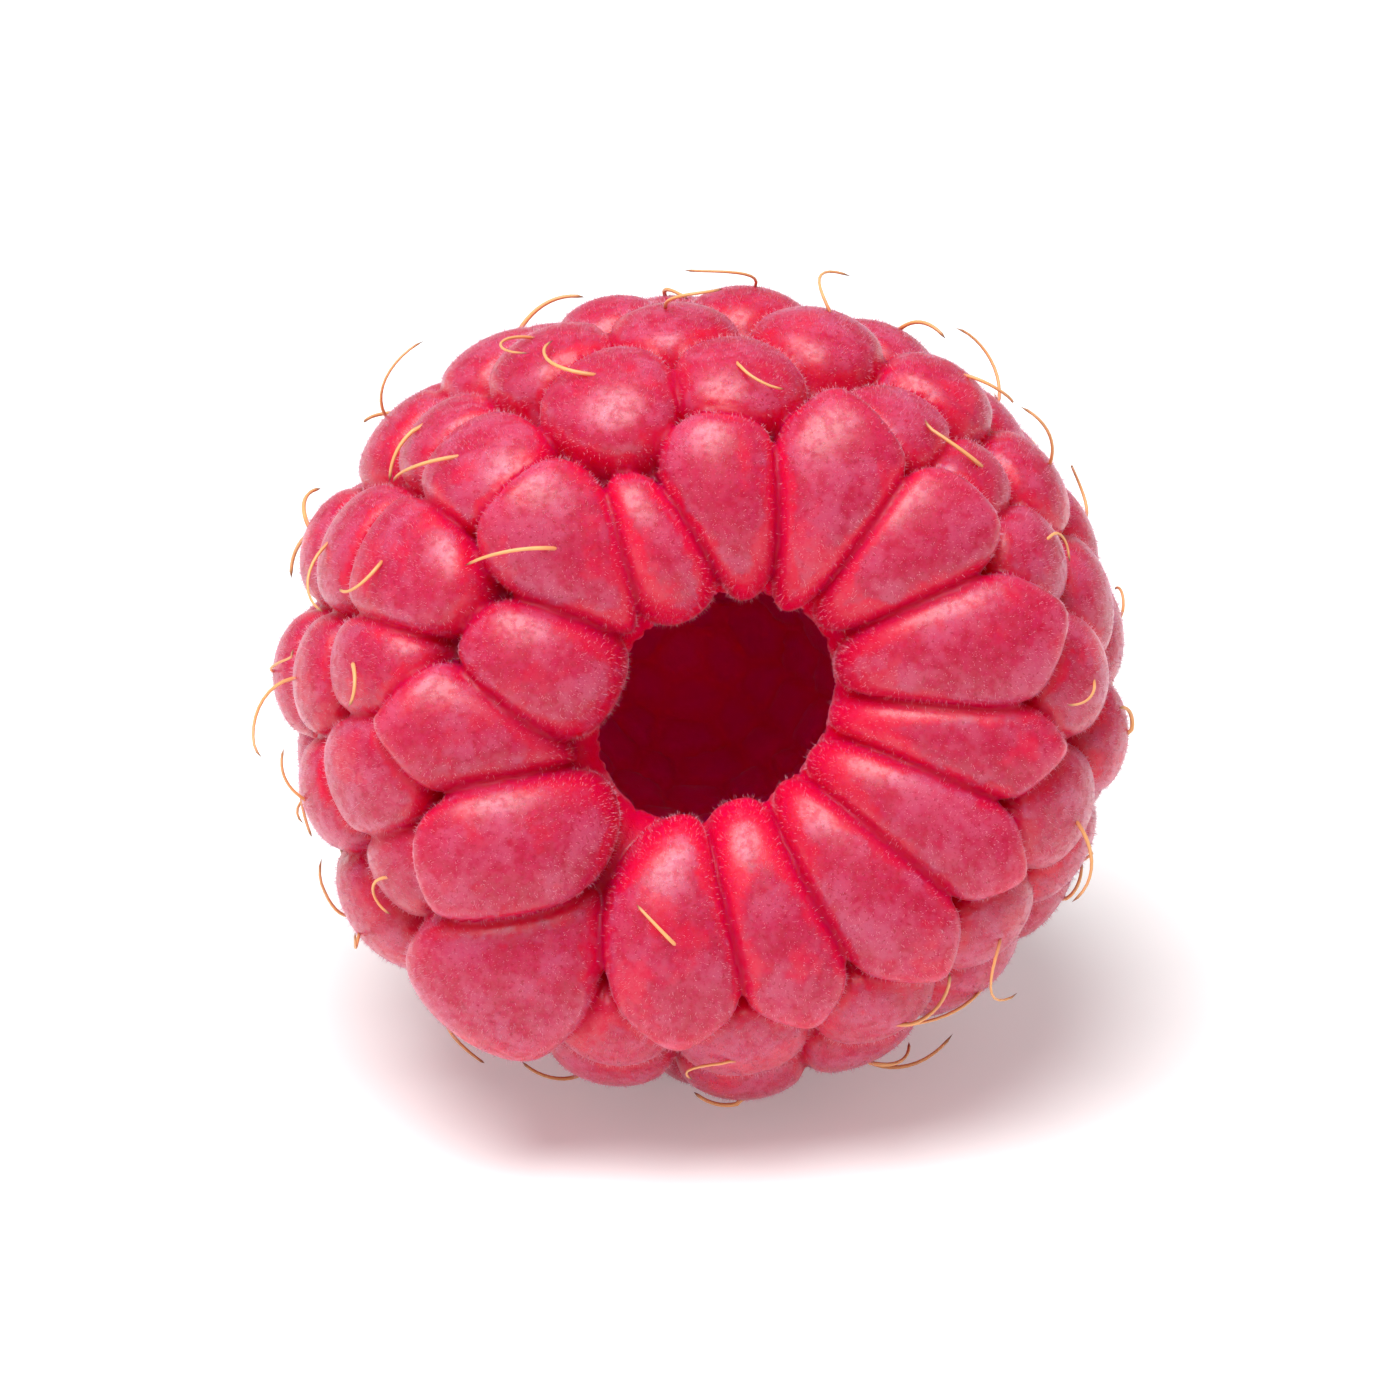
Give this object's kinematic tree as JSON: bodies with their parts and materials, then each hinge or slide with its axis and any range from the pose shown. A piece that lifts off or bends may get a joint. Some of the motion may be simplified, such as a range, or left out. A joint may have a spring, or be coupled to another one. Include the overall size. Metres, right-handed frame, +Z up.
{
  "type": "raspberry",
  "caption": "Ripe picked raspberry lying on its flank, drupelets fused round an open conical hollow whose mouth faces forward and slightly up.",
  "frame": {"origin": "middle of the outline seen from above, on the surface that the raspberry rests on", "axes": "+Z up, +Y from the mouth of the hollow towards the tip, +X to the right as seen looking into the mouth"},
  "size_m": [0.0224, 0.024, 0.0209],
  "materials": {
    "raspberry_flesh": "soft translucent red flesh with a pale velvety bloom on the crowns of the drupelets"
  },
  "bodies": {
    "root": {"raspberry_fruit": "raspberry_flesh"}
  },
  "joints": []
}
